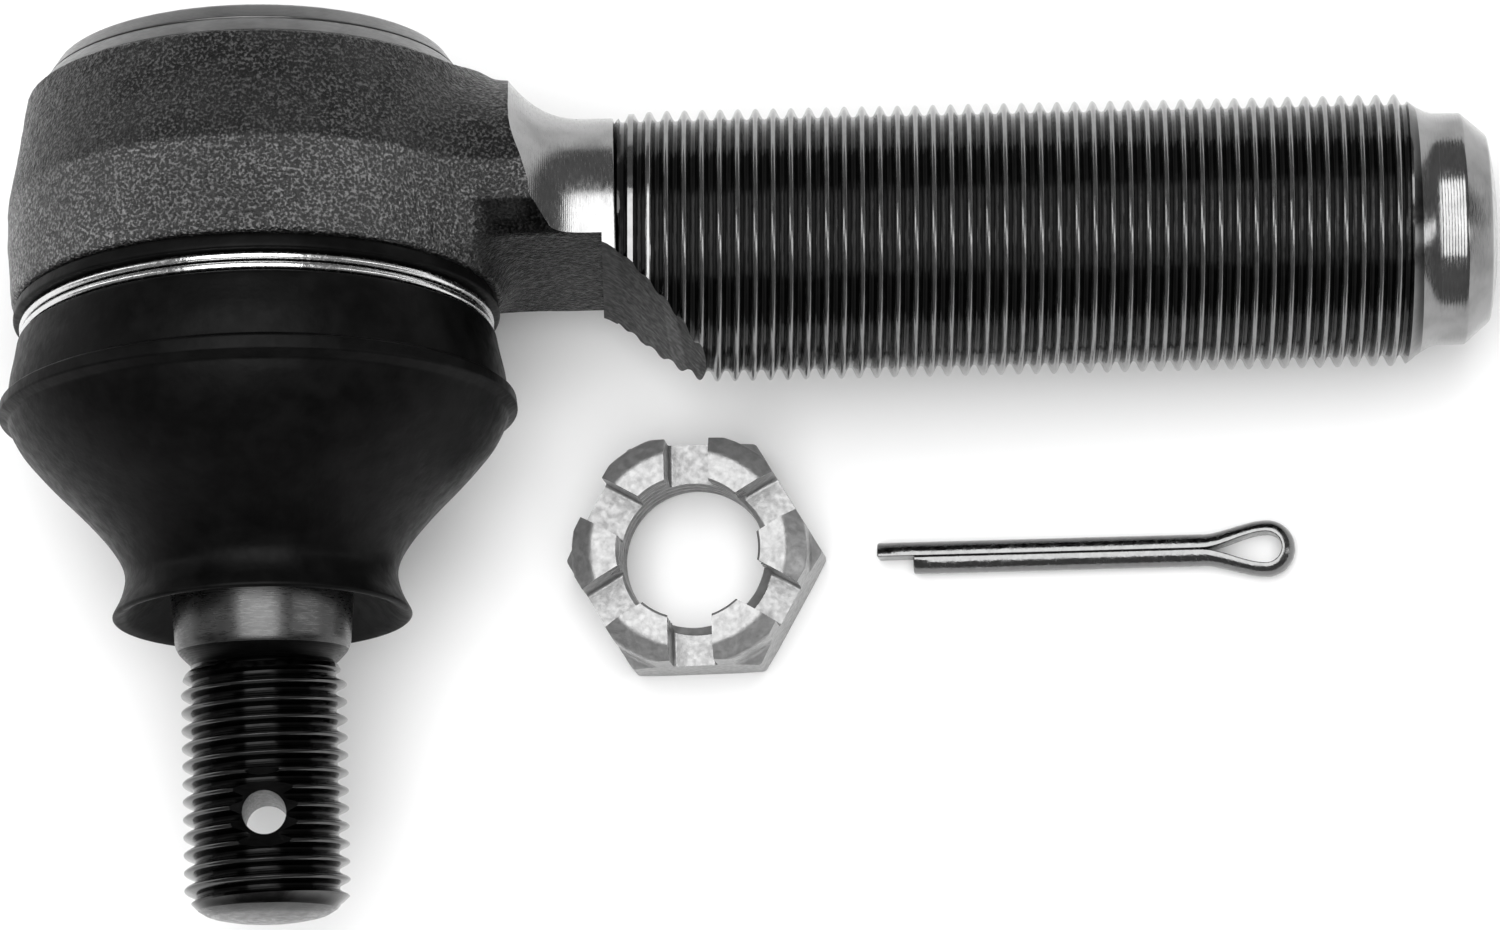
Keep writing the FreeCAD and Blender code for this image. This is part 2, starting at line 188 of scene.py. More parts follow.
class Finish:
    """A node material with short names for the nodes that the finishes share."""

    def __init__(self, name, metallic, roughness, colour=(0.5, 0.5, 0.5)):
        self.material = bpy.data.materials.new(name)
        self.material.use_nodes = True
        self.nodes = self.material.node_tree.nodes
        self.links = self.material.node_tree.links
        self.shader = self.nodes["Principled BSDF"]
        self.shader.inputs["Metallic"].default_value = metallic
        self.shader.inputs["Roughness"].default_value = roughness
        self.shader.inputs["Base Color"].default_value = (*colour, 1)
        self.place = self.nodes.new("ShaderNodeTexCoord").outputs["Object"]

    def link(self, output, socket):
        self.links.new(output, socket)

    def grain(self, size, detail=2.0, stretch=(1, 1, 1)):
        """Noise whose blotches are about size millimetres across, divided by stretch on each axis."""
        mapping = self.nodes.new("ShaderNodeMapping")
        mapping.inputs["Scale"].default_value = [k / (size * MM) for k in stretch]
        texture = self.nodes.new("ShaderNodeTexNoise")
        texture.inputs["Scale"].default_value = 1.0
        texture.inputs["Detail"].default_value = detail
        self.link(self.place, mapping.inputs["Vector"])
        self.link(mapping.outputs["Vector"], texture.inputs["Vector"])
        return texture.outputs["Fac"]

    def steps(self, value, low, high, start=0.0, end=1.0):
        """Map value from low..high to start..end, clamped and eased."""
        node = self.nodes.new("ShaderNodeMapRange")
        node.interpolation_type = "SMOOTHSTEP"
        for name, number in (("From Min", low), ("From Max", high), ("To Min", start), ("To Max", end)):
            node.inputs[name].default_value = number
        self.link(value, node.inputs["Value"])
        return node.outputs["Result"]

    def math(self, kind, a, b=None):
        node = self.nodes.new("ShaderNodeMath")
        node.operation = kind
        for socket, value in zip(node.inputs, (a, b)):
            if isinstance(value, (int, float)):
                socket.default_value = value
            elif value is not None:
                self.link(value, socket)
        return node.outputs["Value"]

    def mix(self, share, first, second):
        """Colour between first and second; each is a grey value, a colour or a node's output."""
        node = self.nodes.new("ShaderNodeMix")
        node.data_type = "RGBA"
        self.link(share, node.inputs["Factor"])
        for socket, value in ((node.inputs[6], first), (node.inputs[7], second)):
            if isinstance(value, (int, float)):
                value = (value, value, value)
            if isinstance(value, tuple):
                socket.default_value = (*value, 1)
            else:
                self.link(value, socket)
        return node.outputs[2]

    def axis(self, name):
        """One coordinate of the piece's own frame, in millimetres."""
        split = self.nodes.new("ShaderNodeSeparateXYZ")
        self.link(self.place, split.inputs["Vector"])
        return self.math("MULTIPLY", split.outputs[name], 1 / MM)

    def distance(self, first, second):
        """Distance in millimetres from the axis that neither coordinate runs along."""
        a, b = self.axis(first), self.axis(second)
        squares = self.math("ADD", self.math("MULTIPLY", a, a), self.math("MULTIPLY", b, b))
        return self.math("SQRT", squares)

    def turning(self, along, pitch):
        """Fine grooves of a turned surface, pitch millimetres apart along one coordinate."""
        wave = self.math("SINE", self.math("MULTIPLY", self.axis(along), 2 * math.pi / pitch))
        return self.math("MULTIPLY", wave, 0.5)

    def colour(self, output):
        self.link(output, self.shader.inputs["Base Color"])

    def roughness(self, output):
        self.link(output, self.shader.inputs["Roughness"])

    def bump(self, *layers):
        """Stack of (height, depth in millimetres) layers on the surface normal."""
        normal = None
        for height, depth in layers:
            node = self.nodes.new("ShaderNodeBump")
            node.inputs["Strength"].default_value = 1.0
            node.inputs["Distance"].default_value = depth * MM
            self.link(height, node.inputs["Height"])
            if normal is not None:
                self.link(normal, node.inputs["Normal"])
            normal = node.outputs["Normal"]
        self.link(normal, self.shader.inputs["Normal"])


def forged_steel():
    """Shot-blasted scale: dark pitted skin with bright flecks, the scale's own grain, but coloured by
    the pits' bump so that painted shade lies in the pits and painted glints on the raised grain; painted
    light makes the band under the forging's crease paler, painted shade the band over it darker and the
    arm's underside almost black.
    """
    f = Finish("forged_steel", 1.0, 0.4)
    pits = f.grain(0.26, 4)
    # Painted light and shade: the drafted band under the crease is coloured paler (lower), the band over
    # it darker (upper).
    painted_light_band = f.steps(f.axis("Y"), -CREASE_S - 0.3, -CREASE_S + 0.4, 1, 0)
    # The scale's grain, coloured by the same pit noise that makes the bump: painted shade in the low
    # pits, painted glints on the raised grain.
    grain_glints_and_pit_shade = f.steps(pits, 0.46, 0.66)
    upper = f.mix(grain_glints_and_pit_shade, 0.018, 0.11)
    lower = f.mix(grain_glints_and_pit_shade, 0.06, 0.27)
    skin = f.mix(painted_light_band, upper, lower)
    # Painted shade: past the head, the arm's side under the parting line is coloured almost black.
    underside = f.steps(f.axis("Y"), PARTING_Y - 0.4, PARTING_Y + 0.1, 1, 0)
    under_arm_painted_shade = f.math("MULTIPLY", underside, f.steps(f.axis("X"), 17.5, 20.0))
    shade = f.mix(under_arm_painted_shade, skin, f.mix(grain_glints_and_pit_shade, 0.003, 0.018))
    f.colour(f.mix(f.steps(f.grain(4.5, 2), 0.35, 0.7, 0, 0.35), shade, 0.05))
    f.roughness(f.steps(f.grain(0.5, 2), 0.3, 0.7, 0.3, 0.52))
    f.bump((f.grain(0.75, 2), 0.35), (pits, 0.42))
    return f.material


def relief_steel():
    """Dark, smoother underside where the arm and thread are cut back."""
    f = Finish("relief_steel", 0.0, 0.5)
    f.shader.inputs["Specular IOR Level"].default_value = 0.15
    f.colour(f.mix(f.steps(f.grain(1.6, 4), 0.35, 0.7), 0.004, 0.014))
    f.roughness(f.steps(f.grain(0.6, 2), 0.3, 0.7, 0.38, 0.55))
    f.bump((f.grain(0.9, 3), 0.07), (f.grain(0.25, 2), 0.02))
    return f.material


def turned_steel(name, along, base=0.46, rough=0.27, groove=0.004, pitch=0.16, span=None):
    """Lathe-turned steel: satin, with fine grooves round it and faint cloudy stains."""
    f = Finish(name, 1.0, rough)
    stains = f.steps(f.grain(3.0, 3), 0.35, 0.75)
    f.colour(f.mix(stains, base, base * 0.72))
    stretch = (6, 1, 1) if along == "X" else (1, 6, 1)
    f.roughness(f.steps(f.grain(0.8, 3, stretch), 0.3, 0.7, rough - 0.06, rough + 0.08))
    grooves = f.turning(along, pitch)
    if span:
        inside = f.math("COMPARE", f.axis(along), sum(span) / 2)
        inside.node.inputs[2].default_value = (span[1] - span[0]) / 2
        grooves = f.math("MULTIPLY", grooves, inside)
    f.bump((grooves, groove), (f.grain(0.5, 2, stretch), 0.006))
    return f.material


def thread_steel(name, across, crest_r, dark, bright, rough):
    """Cut thread coloured by radius: painted shade darkens the roots and a painted highlight brightens
    the crests, unevenly along the thread.
    """
    f = Finish(name, 1.0, rough)
    # Painted shade in the roots, painted highlight on the crests, by distance from the axis.
    height = f.steps(f.distance(*across), crest_r - THREAD_DEPTH - 0.05, crest_r)
    painted_crest_light = f.math("MULTIPLY", height, f.steps(f.grain(1.2, 3), 0.25, 0.7, 0.75, 1.0))
    f.colour(f.mix(painted_crest_light, dark, bright))
    f.roughness(f.steps(f.grain(0.9, 2), 0.3, 0.7, rough - 0.04, rough + 0.06))
    f.bump((f.grain(0.6, 2), 0.008))
    return f.material


def zinc_plate(name, base, rough, cloud=0.8, metallic=1.0):
    """Zinc plate: bright, with a fine crystalline bloom and handling marks."""
    f = Finish(name, metallic, rough)
    bloom = f.steps(f.grain(0.7, 4), 0.3, 0.72)
    f.colour(f.mix(bloom, base, base * cloud))
    f.roughness(f.steps(f.grain(0.45, 3), 0.3, 0.7, rough - 0.07, rough + 0.12))
    f.bump((f.grain(0.7, 3), 0.03), (f.grain(0.16, 2), 0.008))
    return f.material


def boot_rubber():
    """Moulded satin rubber with a faint dusty bloom."""
    f = Finish("boot_rubber", 0.0, 0.5)
    f.shader.inputs["Specular IOR Level"].default_value = 0.06
    f.colour(f.mix(f.steps(f.grain(2.6, 4), 0.35, 0.75), 0.0014, 0.0035))
    f.roughness(f.steps(f.grain(1.1, 3), 0.3, 0.7, 0.36, 0.48))
    f.bump((f.grain(0.5, 3), 0.02), (f.grain(2.4, 2), 0.05))
    return f.material


def moulded_plastic():
    """Pale bearing plastic of the ball seats."""
    f = Finish("seat_plastic", 0.0, 0.45)
    f.colour(f.mix(f.steps(f.grain(2.0, 3), 0.3, 0.7), (0.62, 0.60, 0.54), (0.55, 0.53, 0.47)))
    f.bump((f.grain(0.4, 2), 0.01))
    return f.material


FORGED = forged_steel()
RELIEF = relief_steel()
TURNED_RIM = turned_steel("turned_rim", "Y", 0.14, 0.34)
TURNED_NECK = turned_steel("turned_neck", "X", 0.25, 0.2, 0.003)
TURNED_PILOT = turned_steel("turned_pilot", "X", 0.24, 0.17, 0.009, 0.25, (99.8, 102.0))
SHANK_THREAD = thread_steel("shank_thread_steel", ("Y", "Z"), SHANK_R, 0.035, 0.22, 0.18)
STUD_THREAD = thread_steel("stud_thread_steel", ("X", "Z"), STUD_R, 0.012, 0.09, 0.17)
STUD_GROUND = turned_steel("stud_ground_steel", "Y", 0.08, 0.3, 0.001)
HOLE_WALL = turned_steel("pin_hole_steel", "Z", 0.12, 0.4)
BLACKENED = turned_steel("blackened_steel", "Y", 0.008, 0.4)
CAP_STEEL = turned_steel("cap_steel", "Y", 0.2, 0.4, 0.001)
SPRING_STEEL = turned_steel("spring_steel", "Y", 0.3, 0.4, 0.001)
CLIP_WIRE = zinc_plate("clip_wire_steel", 0.6, 0.18, 0.96)
NUT_ZINC = zinc_plate("nut_zinc", 0.28, 0.36, 0.76, 0.6)
PIN_ZINC = zinc_plate("pin_zinc", 0.16, 0.16, 0.9)
RUBBER = boot_rubber()
PLASTIC = moulded_plastic()


# ---------------------------------------------------------------- mesh tools

def spin_point(axis, radius, station, angle):
    """Point at a radius and angle round an axis: the stud's (-Y), the shank's (+X) or up (+Z)."""
    across, side = radius * math.cos(angle), radius * math.sin(angle)
    return {
        "stud": (across, -station, side),
        "shank": (station, across, side),
        "up": (across, side, station),
    }[axis]


def ramp(value, start, end):
    """Share of the way from start to end, held between 0 and 1."""
    return min(max((value - start) / (end - start), 0), 1)


def eased(way):
    """The same share, but leaving and arriving gently."""
    return way * way * (3 - 2 * way)


def heading(path, n):
    """Unit direction of a path at its nth point."""
    return (path[min(n + 1, len(path) - 1)] - path[max(n - 1, 0)]).normalized()


def softened(points, closed=True, steps=5):
    """Outline with its corners rounded: a third number on a point is how far its curve reaches."""
    outline = []
    last = len(points) - 1
    for n, point in enumerate(points):
        here = Vector(point[:2])
        reach = point[2] if len(point) > 2 else 0
        if reach == 0 or (not closed and n in (0, last)):
            outline.append(tuple(here))
            continue
        ends = []
        for other in (points[n - 1], points[(n + 1) % len(points)]):
            side = Vector(other[:2]) - here
            ends.append(here + side.normalized() * min(reach, 0.5 * side.length))
        for k in range(steps + 1):
            t = k / steps
            outline.append(tuple((1 - t)**2 * ends[0] + 2 * t * (1 - t) * here + t * t * ends[1]))
    return outline


def skin(rows, seam_shift=0):
    """Faces between rows of points that close round on themselves.

    A helix gains one pitch each time round, so the end of its row meets the row seam_shift further on.
    """
    bm = bmesh.new()
    made = [[bm.verts.new(p) for p in row] for row in rows]
    count = len(rows[0])
    for k in range(len(made) - 1):
        for j in range(count):
            wrap = j == count - 1
            shift = seam_shift if wrap else 0
            if k + 1 + shift >= len(made):
                continue
            near, far = made[k + shift], made[k + 1 + shift]
            following = 0 if wrap else j + 1
            corners = (made[k][j], near[following], far[following], made[k + 1][j])
            if len(set(corners)) == 4:
                bm.faces.new(corners)
    return bm


def tidy(bm):
    """Merge what coincides, close open rings and turn all faces outward."""
    bmesh.ops.remove_doubles(bm, verts=bm.verts, dist=2e-4)
    bmesh.ops.dissolve_degenerate(bm, edges=bm.edges, dist=1e-5)
    holes = [e for e in bm.edges if e.is_boundary]
    if holes:
        bmesh.ops.holes_fill(bm, edges=holes, sides=0)
    bmesh.ops.recalc_face_normals(bm, faces=bm.faces)
    return bm


def turned_rows(axis, outline, around, hand=1):
    """Rows of points round an axis, one row for each (radius, station) point of the outline."""
    return [[spin_point(axis, max(r, 1e-6), s, hand * 2 * math.pi * j / around) for j in range(around)]
            for r, s in outline]


def lathe(axis, outline, ring=True, around=AROUND):
    """Solid of revolution from (radius, station) points: a closed ring, or open ends on the axis."""
    points = list(outline) + ([outline[0]] if ring else [])
    return tidy(skin(turned_rows(axis, points, around)))


def absorb(bm, other):
    """Add another mesh's faces to this one."""
    mesh = bpy.data.meshes.new("absorbed")
    other.to_mesh(mesh)
    other.free()
    bm.from_mesh(mesh)
    bpy.data.meshes.remove(mesh)


def extruded(outline, axis, low, high):
    """Prism of a closed outline: in XY along Z, or in YZ along X."""
    bm = bmesh.new()
    ends = []
    for level in (low, high):
        ends.append([bm.verts.new((a, b, level) if axis == "Z" else (level, a, b)) for a, b in outline])
    count = len(outline)
    for j in range(count):
        k = (j + 1) % count
        bm.faces.new((ends[0][j], ends[0][k], ends[1][k], ends[1][j]))
    bm.faces.new(ends[0])
    bm.faces.new(ends[1])
    bmesh.ops.recalc_face_normals(bm, faces=bm.faces)
    return bm


THREAD_SHAPE = ((0.0, 1.0), (0.07, 0.96), (0.15, 0.80), (0.27, 0.38), (0.38, 0.07), (0.5, 0.0),
                (0.62, 0.07), (0.73, 0.38), (0.85, 0.80), (0.93, 0.96))


def helix_rows(axis, start, end, crest_at, crest_r, hand, limit, around):
    """Rows of points along a thread, clamped to start..end and under the radius that limit gives."""
    rows = []
    first = crest_at - math.ceil((crest_at - start) / PITCH + 1) * PITCH
    turns = math.ceil((end - first) / PITCH) + 1
    for turn in range(turns):
        for phase, height in THREAD_SHAPE:
            row = []
            for j in range(around):
                at = first + (turn + phase + j / around) * PITCH
                at = min(max(at, start), end)
                radius = min(crest_r - THREAD_DEPTH * (1 - height), limit(at))
                row.append(spin_point(axis, radius, at, hand * 2 * math.pi * j / around))
            rows.append(row)
    return rows


def threaded(axis, before, thread, after, hand, around=AROUND):
    """Closed turned piece: plain rows, a thread and plain rows again."""
    bm = skin(helix_rows(axis=axis, hand=hand, around=around, **thread), len(THREAD_SHAPE))
    for outline in (before, after):
        absorb(bm, skin(turned_rows(axis, outline, around, hand)))
    return tidy(bm)


def solid(name, bm, *materials):
    """Object in millimetres, used while shapes are being cut and joined."""
    mesh = bpy.data.meshes.new(name)
    bm.to_mesh(mesh)
    bm.free()
    for material in materials:
        mesh.materials.append(material)
    obj = bpy.data.objects.new(name, mesh)
    bpy.context.scene.collection.objects.link(obj)
    return obj


def baked(obj):
    """Replace the object's mesh by what its modifiers make of it."""
    graph = bpy.context.evaluated_depsgraph_get()
    mesh = bpy.data.meshes.new_from_object(obj.evaluated_get(graph), depsgraph=graph)
    obj.modifiers.clear()
    obj.data = mesh
    return obj


def combine(obj, tool, operation):
    """Cut the object with another solid, or keep what they share; cut faces take the tool's material."""
    cut = obj.modifiers.new("cut", "BOOLEAN")
    cut.operation = operation
    cut.solver = "MANIFOLD"
    cut.material_mode = "TRANSFER"
    cut.object = tool
    baked(obj)
    bpy.data.objects.remove(tool)
    return obj


def bevelled(obj, width, angle, segments):
    """Round off the object's sharp edges."""
    bevel = obj.modifiers.new("bevel", "BEVEL")
    bevel.width = width
    bevel.segments = segments
    bevel.limit_method = "ANGLE"
    bevel.angle_limit = math.radians(angle)
    bevel.harden_normals = False
    return baked(obj)


def finished(obj, place, replaces, body=None, crease=32):
    """Bring a solid to metres and its place, shade it, and hand it to its body."""
    obj.data.transform(Matrix.Scale(MM, 4))
    obj.data.shade_smooth()
    obj.data.set_sharp_from_angle(angle=math.radians(crease))
    obj.matrix_world = place
    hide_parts(replaces)
    if body:
        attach(obj, body)
    return obj


# ---------------------------------------------------------------- housing

def smooth_max(a, b, k):
    h = np.maximum(k - np.abs(a - b), 0) / k
    return np.maximum(a, b) + h * h * k / 4


def smooth_min(a, b, k):
    return -smooth_max(-a, -b, k)


def forging_field(p):
    """Signed distance to the forged skin: drafted head and arm, run together by a soft fillet."""
    x, y, z = p[:, 0], p[:, 1], p[:, 2]
    r = np.hypot(x, z)
    stations = (FORGED_TOP_S, FORGED_TOP_S + 0.3, CREASE_S, CREASE_S + 3.5, BODY_EDGE_S)
    radii = (FORGED_TOP_R - 0.1, FORGED_TOP_R, BODY_R, BODY_R, BODY_R - 0.25)
    flash = np.exp(-((y - PARTING_Y) / 0.3)**2)
    side = r - np.interp(-y, stations, radii) - 0.05 * flash
    head = smooth_max(side, np.maximum(FORGED_TOP_S + y, -y - BODY_EDGE_S), 0.5)
    flank = np.abs(z) - ARM_HALF_WIDTH - 0.16 * flash
    under_flank = 0.9 * (np.abs(z) - ARM_HALF_WIDTH + 0.45 * (PARTING_Y - y))
    arm = smooth_max(np.hypot(y, z) - ARM_R, np.maximum(flank, under_flank), 0.7)
    arm = smooth_max(arm, RELIEF_Y - y, 0.6)
    arm = np.maximum(arm, np.maximum(ARM_START_X - x, x - NECK_SEAM_X - 2))
    body = smooth_min(head, arm, 3.2)
    body = np.maximum(body, -y - BODY_EDGE_S)
    return np.maximum(body, FORGED_BORE_R - r)


def settle(points, passes=6, step=0.01):
    """Move points onto the forged skin along the field's slope."""
    for _ in range(passes):
        value = forging_field(points)
        slope = np.stack([forging_field(points + step * e) - forging_field(points - step * e)
                          for e in np.eye(3)], axis=1) / (2 * step)
        size = np.maximum((slope**2).sum(1), 0.2)
        points = points - (np.clip(value, -0.5, 0.5) / size)[:, None] * slope
    return points


def hammered(points, normals):
    """Raise and sink the forged skin by its dents and pits, calm where the turned neck begins."""
    for n, (p, d) in enumerate(zip(points, normals)):
        at = Vector(p)
        strength = ramp(p[0], DENTS_END_X, DENTS_END_X - DENTS_FADE)
        dent = 0.07 * noise.noise(at / 4.0) + 0.035 * noise.noise(at / 1.1)
        dent += 0.02 * noise.noise(at / 0.45)
        points[n] = p + d * dent * strength
    return points


def neck_envelope():
    """All that the turning of the neck leaves: its fillet sweeps up into the arm."""
    length = NECK_FILLET_END_X - NECK_FILLET_START_X
    wide, sweep, steps = 60, 2.6, 24
    outline = [(0, -wide), (wide, -wide), (wide, NECK_FILLET_START_X - 1)]
    for k in range(steps + 1):
        way = (length + 1) / length * (1 - k / steps)
        outline.append((NECK_R + NECK_FILLET_RISE * way**sweep, NECK_FILLET_END_X - way * length))
    outline += [(NECK_R, NECK_SEAM_X), (0, NECK_SEAM_X)]
    return lathe("shank", outline, ring=False)


def housing_forging():
    """Forged head and arm, with the turned neck cut into them."""
    ring = lathe("stud", [(FORGED_BORE_R, FORGED_TOP_S), (BAND_END_R, FORGED_TOP_S), (BODY_R, CREASE_S),
                          (BODY_R, BODY_EDGE_S), (FORGED_BORE_R, BODY_EDGE_S)], around=96)
    arm = extruded([(RELIEF_Y, -ARM_HALF_WIDTH), (ARM_R / 2, -ARM_HALF_WIDTH), (ARM_R, -3), (ARM_R, 3),
                    (ARM_R / 2, ARM_HALF_WIDTH), (RELIEF_Y, ARM_HALF_WIDTH)], "X",
                   ARM_START_X, NECK_SEAM_X + 2)
    absorb(ring, arm)
    obj = solid("housing_forging", ring, FORGED)
    remesh = obj.modifiers.new("remesh", "REMESH")
    remesh.mode = "VOXEL"
    remesh.voxel_size = 0.3
    baked(obj)
    obj.data.materials.clear()
    obj.data.materials.append(FORGED)
    count = len(obj.data.vertices)
    flat = np.empty(count * 3)
    obj.data.vertices.foreach_get("co", flat)
    points = settle(flat.reshape(-1, 3))
    obj.data.vertices.foreach_set("co", points.ravel())
    obj.data.update()
    obj.data.vertices.foreach_get("normal", flat)
    points = hammered(points, flat.reshape(-1, 3).copy())
    obj.data.vertices.foreach_set("co", points.ravel())
    obj.data.update()
    combine(obj, solid("envelope", neck_envelope(), TURNED_NECK), "INTERSECT")
    return finished(obj, HOUSING_FRAME, "housing", "housing")


def housing_socket():
    """Turned parts of the head: rolled rim, band, bore and the boot's spigot."""
    outline = softened([
        (14.0, RIM_S + 0.35, 0.3), (14.6, RIM_S + 0.02, 0.4), (RIM_R - 0.1, RIM_S, 0.4),
        (BAND_START_R, BAND_START_S, 0.12), (BAND_START_R - 0.12, BAND_START_S + 0.08, 0.06),
        (BAND_START_R + 0.12, BAND_START_S + 0.22, 0.1), (BAND_END_R, FORGED_TOP_S, 0.1),
        (BAND_END_R - 0.1, FORGED_TOP_S + 0.3),
        (SOCKET_R, FORGED_TOP_S + 0.9), (SOCKET_R, BODY_EDGE_S - 0.4), (SPIGOT_R, BODY_EDGE_S - 0.4),
        (SPIGOT_R, SPIGOT_END_S, 0.5), (12.6, SPIGOT_END_S, 0.4), (10.4, 7.4, 0.2), (BORE_R, 7.4),
        (BORE_R, CAP_TOP_S + CAP_THICK), (CAP_SEAT_R, CAP_TOP_S + CAP_THICK),
        (CAP_SEAT_R, CAP_TOP_S - 0.05), (14.0, CAP_TOP_S - 0.05, 0.15),
    ])
    return finished(solid("housing_socket", lathe("stud", outline), TURNED_RIM),
                    HOUSING_FRAME, "housing", "housing")


def relief_cutter(low_x):
    """Block whose top is the flat under the arm and the ramp up to the full thread."""
    depth = 18
    ramp = (depth + RELIEF_Y) / RELIEF_RAMP_SLOPE
    outline = softened([(low_x, RELIEF_Y), (RELIEF_RAMP_X, RELIEF_Y, 3.5),
                        (RELIEF_RAMP_X + ramp, -depth), (low_x, -depth)])
    return extruded(outline, "Z", -30, 30)


def housing_shank():
    """Threaded shank, left-hand, with its neck's end and the turned pilot at the tip."""
    start_r, end_r = 10.5, SHANK_R - 1.05

    def limit(x):
        inside = x - THREAD_START_X
        lead_in = min(start_r + 1.3 * inside, 11.15 + 0.09 * inside)
        return min(lead_in, end_r + 0.75 * (THREAD_END_X - x), SHANK_R)

    thread = dict(start=THREAD_START_X, end=THREAD_END_X, crest_at=THREAD_CREST_X, crest_r=SHANK_R,
                  limit=limit)
    before = softened([(0, NECK_SEAM_X), (NECK_R, NECK_SEAM_X), (NECK_R, THREAD_START_X - 0.12, 0.1),
                       (start_r, THREAD_START_X)], closed=False)
    after = softened([(end_r, THREAD_END_X), (PILOT_R, THREAD_END_X + 1.1, 0.7), (PILOT_R, 102.0, 0.15),
                      (PILOT_R - 1.9, 104.2, 0.3), (4.5, SHANK_END_X - 0.15, 2.5), (0, SHANK_END_X)],
                     closed=False)
    obj = solid("housing_shank", threaded("shank", before, thread, after, hand=-1), SHANK_THREAD,
                TURNED_NECK, TURNED_PILOT)
    for face in obj.data.polygons:
        x = face.center.x
        face.material_index = 1 if x < THREAD_START_X - 0.05 else 2 if x > THREAD_END_X + 0.05 else 0
    combine(obj, solid("relief", relief_cutter(10), RELIEF), "DIFFERENCE")
    return finished(obj, HOUSING_FRAME, "housing", "housing")


# ---------------------------------------------------------------- cap, clip and boot

def end_cap():
    """Pressed disc with a dished middle and rounded edge."""
    top, under = CAP_TOP_S, CAP_TOP_S + CAP_THICK
    edge = CAP_SEAT_R - 0.05
    outline = softened([
        (0, top + 0.5), (7.3, top + 0.5, 0.8), (8.8, top, 0.8), (edge, top, 0.4),
        (edge, under - 0.05, 0.2), (9.5, under - 0.05, 0.8), (8.0, under + 0.4, 0.8), (0, under + 0.4),
    ], closed=False)
    return finished(solid("end_cap_disc", lathe("stud", outline, ring=False), CAP_STEEL),
                    HOUSING_FRAME, "end_cap", "housing")


def tube(path, radius, sides=12):
    """Round wire along a path, with rounded ends."""
    path = [Vector(p) for p in path]
    places = []
    up = Vector((0, 1, 0))
    for n, here in enumerate(path):
        along = heading(path, n)
        up = up - along * along.dot(up)
        up.normalize()
        places.append((here, along, up, along.cross(up)))
    steps = 4
    slants = [k * math.pi / 2 / steps for k in range(steps + 1)]
    stations = [(places[0], -radius * math.cos(a), math.sin(a)) for a in slants[:-1]]
    stations += [(place, 0, 1) for place in places]
    stations += [(places[-1], radius * math.sin(a), math.cos(a)) for a in slants[1:]]
    rows = []
    for (here, along, up, side), push, share in stations:
        middle, reach = here + along * push, radius * max(share, 1e-4)
        rows.append([tuple(middle + reach * (up * math.cos(a) + side * math.sin(a)))
                     for a in (2 * math.pi * j / sides for j in range(sides))])
    return tidy(skin(rows))


def boot_clip():
    """Two turns of spring wire in the bead's groove, stepping across under the housing."""
    steps, turns, cross = 300, 2.0, 0.05
    first = math.radians(245)
    path = []
    for k in range(steps + 1):
        turn = turns * k / steps
        station = CLIP_FIRST_S + CLIP_PITCH * eased(ramp(turn, 1 - cross, 1 + cross))
        path.append(spin_point("stud", CLIP_R, station, first + 2 * math.pi * turn))
    return finished(solid("boot_clip_wire", tube(path, CLIP_WIRE_R), CLIP_WIRE),
                    HOUSING_FRAME, "boot_clip_ring", "housing", crease=60)


def share_of_tilt(station):
    """Share of the stud's tilt that the boot has taken up at a station."""
    return eased(ramp(station, BOOT_BEND_START_S, BOOT_BEND_END_S))


def dust_boot():
    """Rubber boot: bead, clip groove, collar with moulding lines, rib, cone, waist and flared lip."""
    outline = softened([
        (18.0, 4.5, 0.3), (20.4, 4.5, 0.45), (20.6, 5.8, 0.3), (19.33, 5.95, 0.1), (19.33, 7.55, 0.1),
        (20.2, 7.62, 0.4), (20.5, 9.3, 0.8), (20.9, 10.9, 0.8), (21.05, 12.1, 0.3), (21.1, 12.75, 0.08),
        (21.8, 13.0, 0.12), (21.9, 13.9, 0.15), (21.1, 14.4, 0.15), (20.85, 15.1, 0.4),
        (20.0, 16.7, 1.0), (17.6, 19.5, 1.8), (14.9, 22.1, 1.8), (12.6, 24.7, 1.6),
        (11.35, 26.9, 1.3), (11.75, 29.0, 1.3), (12.7, 30.75, 0.25), (12.4, 31.0, 0.15),
        (11.6, 30.7, 0.4), (9.7, 28.9, 1.0), (8.5, 28.0, 0.3), (8.5, 25.9, 0.5), (10.4, 24.7, 1.0),
        (12.8, 22.1, 1.5), (15.5, 19.5, 1.5), (17.7, 16.9, 1.2), (18.7, 14.5, 1.0), (17.8, 10.9, 0.8),
    ])
    bm = lathe("stud", outline)
    for v in bm.verts:
        turn = Matrix.Rotation(DROOP * share_of_tilt(-v.co.y), 3, "X")
        sag = ramp(-v.co.y, LIP_SAG_START_S, LIP_SAG_END_S)
        v.co.y += v.co.z * math.tan(LIP_SAG) * sag
        v.co = turn @ v.co
    obj = finished(solid("dust_boot_rubber", bm, RUBBER), HOUSING_FRAME, "dust_boot",
                   crease=50)
    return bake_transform(obj)


# ---------------------------------------------------------------- ball stud

def hole_cutter():
    """Drill for the split pin, with a wide countersink at each end."""
    over = 1.2
    depth = (PIN_HOLE_MOUTH_R - PIN_HOLE_R) * COUNTERSINK_SLOPE
    high = STUD_R + over
    mouth = PIN_HOLE_MOUTH_R + over / COUNTERSINK_SLOPE
    outline = [(0, -high), (mouth, -high), (PIN_HOLE_R, depth - STUD_R), (PIN_HOLE_R, STUD_R - depth),
               (mouth, high), (0, high)]
    bm = lathe("up", outline, ring=False, around=72)
    bmesh.ops.translate(bm, verts=bm.verts, vec=(0, -PIN_HOLE_S, 0))
    return bm


